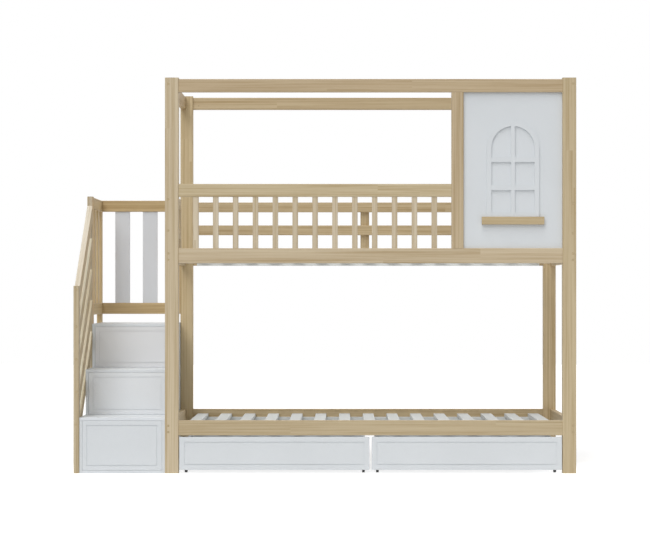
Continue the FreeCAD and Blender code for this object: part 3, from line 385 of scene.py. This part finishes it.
# The house front is a painted board between the stud and the right post, with an arched window frame
# laid on it in relief. A bare pine sill is glued under the window.
BOARD_WHITE = (212, 216, 219)
STUD_PINE = (184, 165, 134)
SILL_PINE = (183, 164, 128)
dress("window_stud", pine("pine_window_stud", "z", STUD_PINE, seed=24))
dress("window_panel", white_lacquer("lacquer_window_panel", BOARD_WHITE, "z", seed=25))
dress("window_frame", white_lacquer("lacquer_window_frame", BOARD_WHITE, "z", seed=26))
dress("window_sill", pine("pine_window_sill", "x", SILL_PINE, seed=27))

# Connector bolts sit sunk in the posts and end in round barrel nuts inside the rails. Both are steel with a
# dull bronze plating, given a paler tone that paints light into the shade of the sunk heads, and every bolt
# is turned with a key in the hexagon socket of its head.
HEAD_RADIUS = 0.006
HEAD_HEIGHT = 0.004
HEAD_EASE = 0.0007
SHANK_RADIUS = 0.003
SOCKET_HALF = 0.0022
SOCKET_DEPTH = 0.0028
ROUND_STEPS = 24
END_BOLT = 0.083
SIDE_BOLT = 0.108
LOW_SLAT_BOLT = 0.065
HIGH_SLAT_BOLT = 0.081
TO_WALL = (0, 1, 0)
TO_ROOM = (0, -1, 0)
TO_RIGHT = (1, 0, 0)
TO_LEFT = (-1, 0, 0)
END_HEIGHTS = (1.968, 1.111, 1.079, 0.241, 0.209)
SIDE_HEIGHTS = (1.948, 1.095, 0.225)
# Each row of bolts: x and y of the heads, direction into the wood, length, and the heads' heights.
BOLT_ROWS = (
    (-0.791, -0.494, TO_WALL, END_BOLT, (*END_HEIGHTS, 1.385, 1.227)),
    (-0.791, 0.494, TO_ROOM, END_BOLT, END_HEIGHTS),
    (1.253, -0.494, TO_WALL, END_BOLT, (*END_HEIGHTS, 1.362, 1.213)),
    (1.253, 0.494, TO_ROOM, END_BOLT, (*END_HEIGHTS, 1.362, 1.213)),
    (-0.807, -0.477, TO_RIGHT, SIDE_BOLT, (*SIDE_HEIGHTS, 1.4305)),
    (-0.807, 0.477, TO_RIGHT, SIDE_BOLT, SIDE_HEIGHTS),
    (1.269, -0.477, TO_LEFT, SIDE_BOLT, SIDE_HEIGHTS),
    (1.269, 0.477, TO_LEFT, SIDE_BOLT, SIDE_HEIGHTS),
    (-1.256, -0.494, TO_WALL, LOW_SLAT_BOLT, (0.930, 0.742, 0.577, 0.412, 0.247)),
    (-1.256, 0.098, TO_ROOM, HIGH_SLAT_BOLT, (1.337, 1.164, 0.999, 0.834, 0.669)),
)


def socket_bolts(name, rows):
    """Every bolt is a stack of rings round its axis, on a grid of ring and angle. A ring's radius is the
    same all round, or in the socket half the width across flats over the cosine of the angle to the
    next flat. A point closes the socket's floor and another the tip."""
    heads = np.array([(x, y, height) for x, y, _, _, heights in rows for height in heights])
    inward = np.array([way for _, _, way, _, heights in rows for _ in heights], float)
    length = np.array([reach for _, _, _, reach, heights in rows for _ in heights])
    upward = np.array([0.0, 0.0, 1.0])
    sideways = np.cross(inward, upward)
    turn = np.arange(ROUND_STEPS) * 2 * math.pi / ROUND_STEPS
    sixth = math.pi / 3
    socket = SOCKET_HALF / np.cos((turn + sixth / 2) % sixth - sixth / 2)
    circle = np.ones(ROUND_STEPS)
    radius = np.array([socket, socket, circle * (HEAD_RADIUS - HEAD_EASE), circle * HEAD_RADIUS,
                       circle * HEAD_RADIUS, circle * SHANK_RADIUS, circle * SHANK_RADIUS])
    depth = np.tile([SOCKET_DEPTH, 0, 0, HEAD_EASE, HEAD_HEIGHT, HEAD_HEIGHT, 0], (len(heads), 1))
    depth[:, -1] = length
    spoke = np.cos(turn)[:, None] * upward + np.sin(turn)[:, None] * sideways[:, None, :]
    rings = (heads[:, None, None] + radius[None, :, :, None] * spoke[:, None]
             + depth[:, :, None, None] * inward[:, None, None])
    ends = heads[:, None] + depth[:, [0, -1], None] * inward[:, None]
    points = np.concatenate([rings.reshape(len(heads), -1, 3), ends], axis=1)

    last = (len(radius) - 1) * ROUND_STEPS
    here = np.arange(last)
    beside = here - here % ROUND_STEPS + (here + 1) % ROUND_STEPS
    walls = np.stack([here, beside, beside + ROUND_STEPS, here + ROUND_STEPS], axis=1)
    spot = np.arange(ROUND_STEPS)
    following = (spot + 1) % ROUND_STEPS
    middle = np.full(ROUND_STEPS, last + ROUND_STEPS)
    caps = np.concatenate([np.stack([middle, following, spot], axis=1),
                           np.stack([last + spot, last + following, middle + 1], axis=1)])
    start = np.arange(len(heads))[:, None, None] * points.shape[1]
    faces = (start + walls).reshape(-1, 4).tolist() + (start + caps).reshape(-1, 3).tolist()
    mesh = bpy.data.meshes.new(name)
    mesh.from_pydata(points.reshape(-1, 3).tolist(), [], faces)
    made = bpy.data.objects.new(name, mesh)
    scene.collection.objects.link(made)
    return made


CRYSTAL_SCALE = 420.0
CRYSTAL_DARK = 0.88
CRYSTAL_LIGHT = 1.1
SCUFF_SCALE = 160.0
SCUFF_SMOOTH = 0.08
SCUFF_ROUGH = 0.12
# The bronze tone is paler than the dull plating alone: it also paints light into the heads' shade in their
# counterbores.
BRONZE_TONE = (176, 160, 130)


def plated_steel(name, tone, roughness):
    """Plated steel: mottled crystals of tone, with scuffs that change its gloss."""
    finish, tree = new_finish(name)
    place = add_node(tree, "ShaderNodeTexCoord").outputs["Object"]
    crystals = add_node(tree, "ShaderNodeTexVoronoi",
                        {"Vector": place, "Scale": CRYSTAL_SCALE}).outputs["Distance"]
    scuffs = add_node(tree, "ShaderNodeTexNoise",
                      {"Vector": place, "Scale": SCUFF_SCALE, "Detail": 3.0}).outputs[0]
    base = from_screen(*tone)
    colour = ramp(tree, crystals, (0.0, base * CRYSTAL_DARK), (1.0, base * CRYSTAL_LIGHT))
    gloss = add_node(tree, "ShaderNodeMapRange", {"Value": scuffs, "To Min": roughness - SCUFF_SMOOTH,
                                                  "To Max": roughness + SCUFF_ROUGH}).outputs[0]
    surface(tree, Base_Color=colour, Metallic=1.0, Roughness=gloss)
    return finish


bolt_bronze = plated_steel("bolt_bronze", BRONZE_TONE, roughness=0.5)
frame_bolts = socket_bolts("socket_bolts", BOLT_ROWS)
frame_bolts.data.materials.append(bolt_bronze)
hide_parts("frame_bolts")
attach(frame_bolts, "frame")
dress("barrel_nuts", bolt_bronze)

# The staircase is three white board boxes set back one on another on a base board. Screws from
# inside join them, so no fixings show.
# The treads take a lighter white than the boards: painted light that makes up for the shade the frame casts
# on them.
PAINTED_LIGHT_TREAD_WHITE = (216, 220, 224)
STAIR_BOARDS = (
    ("stair_base", BOARD_WHITE),
    ("stair_box_sides", BOARD_WHITE),
    ("stair_box_backs", BOARD_WHITE),
    ("lower_tread", PAINTED_LIGHT_TREAD_WHITE),
    ("middle_tread", PAINTED_LIGHT_TREAD_WHITE),
    ("landing_tread", PAINTED_LIGHT_TREAD_WHITE),
    ("drawer_runners", BOARD_WHITE),
)
for seed, (name, tone) in enumerate(STAIR_BOARDS, start=30):
    dress(name, white_lacquer(f"lacquer_{name}", tone, "x", seed))

# A pine side frame leans the handrail and its guard slats between two posts, where bolts through the
# posts hold them. Rails and slats close the landing behind, and the posts stand against the boxes.
HANDRAIL_HIGH_TOP = 1.375
HANDRAIL_LOW_TOP = 0.948
HANDRAIL_RUN = 0.490
SLANT = (-math.atan2(HANDRAIL_HIGH_TOP - HANDRAIL_LOW_TOP, HANDRAIL_RUN), 0, -math.pi / 2)
LANDING_PINE = (205, 182, 139)
# The fourth column, where given, is a second tone for the faces that don't look along the bed. It is painted
# light on the upper edges of the handrail and guard slats, and painted light and shade between the middle
# post's front and its sides.
SIDE_FRAME = (
    ("stair_front_post", "z", (188, 173, 144), None, 40),
    ("stair_middle_post", "z", (212, 184, 138), (187, 174, 150), 41),
    ("stair_rear_post", "z", LANDING_PINE, None, 42),
    ("handrail", SLANT, (196, 175, 136), (218, 209, 192), 43),
    ("stair_guard_slats", SLANT, (192, 171, 132), (250, 240, 216), 44),
    ("landing_side_rails", "y", LANDING_PINE, None, 45),
    ("landing_side_slats", "z", LANDING_PINE, None, 46),
    ("landing_rear_rails", "x", (190, 166, 123), None, 47),
    ("landing_rear_stile", "z", (188, 164, 124), None, 48),
)
for name, grain, tone, painted_light_tone, seed in SIDE_FRAME:
    dress(name, pine(f"pine_{name}", grain, tone, seed, painted_light_tone))
# The landing slats take a lighter white than the boards: painted light that makes up for the shade of the
# side frame.
PAINTED_LIGHT_LANDING_WHITE = (213, 216, 221)
dress("landing_rear_slats", white_lacquer("lacquer_landing_rear_slats", PAINTED_LIGHT_LANDING_WHITE, "z", seed=49))

# Each step holds a drawer behind an inset front with a routed groove. The fronts are sprayed board,
# and the boxes are thin white board that slides on wooden runners.
BOX_SEED_SHIFT = 5
# The middle and upper fronts take a lighter white than the board: painted light that makes up for the shade
# the side frame casts on them.
STEPS = (
    ("lower", BOARD_WHITE),
    ("middle", (222, 225, 228)),
    ("upper", (222, 223, 225)),
)
for seed, (step, tone) in enumerate(STEPS, start=50):
    dress(f"{step}_step_front", white_lacquer(f"lacquer_{step}_step_front", tone, "x", seed))
    box_finish = white_lacquer(f"lacquer_{step}_step_box", BOARD_WHITE, "y", seed + BOX_SEED_SHIFT)
    dress(f"{step}_step_box", box_finish)


# Two wide drawers roll on the floor under the lower bunk, on fixed castors of pressed steel with
# dark moulded wheels.
SPECKLE_SCALE = 900.0
SPECKLE_RELIEF = 0.2
SPECKLE_DEPTH = 0.0002
RUBBED_SCALE = 90.0
RUBBED_DARK = 0.8
RUBBED_LIGHT = 1.3
RUBBED_ROUGHNESS = (0.4, 0.65)
ZINC_TONE = (196, 196, 198)
WHEEL_TONE = (58, 57, 56)


def moulded_plastic(name, tone):
    """Dark moulded plastic: a fine speckle in the skin with rubbed patches of tone and gloss."""
    finish, tree = new_finish(name)
    place = add_node(tree, "ShaderNodeTexCoord").outputs["Object"]
    speckle = add_node(tree, "ShaderNodeTexNoise",
                       {"Vector": place, "Scale": SPECKLE_SCALE, "Detail": 2.0}).outputs[0]
    rubbed = add_node(tree, "ShaderNodeTexNoise",
                      {"Vector": place, "Scale": RUBBED_SCALE, "Detail": 3.0}).outputs[0]
    base = from_screen(*tone)
    colour = ramp(tree, rubbed, (0.3, base * RUBBED_DARK), (0.7, base * RUBBED_LIGHT))
    gloss = add_node(tree, "ShaderNodeMapRange", {"Value": rubbed, "To Min": RUBBED_ROUGHNESS[0],
                                                  "To Max": RUBBED_ROUGHNESS[1]}).outputs[0]
    relief = add_node(tree, "ShaderNodeBump", {"Height": speckle, "Strength": SPECKLE_RELIEF,
                                               "Distance": SPECKLE_DEPTH}).outputs[0]
    surface(tree, Base_Color=colour, Roughness=gloss, Normal=relief)
    return finish


castor_steel = plated_steel("bright_zinc", ZINC_TONE, roughness=0.32)
wheel_plastic = moulded_plastic("wheel_black", WHEEL_TONE)
for seed, side in enumerate(("left", "right"), start=60):
    dress(f"{side}_drawer_front", white_lacquer(f"lacquer_{side}_drawer_front", BOARD_WHITE, "x", seed))
    box_finish = white_lacquer(f"lacquer_{side}_drawer_box", BOARD_WHITE, "x", seed + BOX_SEED_SHIFT)
    dress(f"{side}_drawer_box", box_finish)
    dress(f"{side}_drawer_castors", castor_steel)
    for row in ("front", "rear"):
        dress(f"{side}_drawer_{row}_wheels", wheel_plastic)
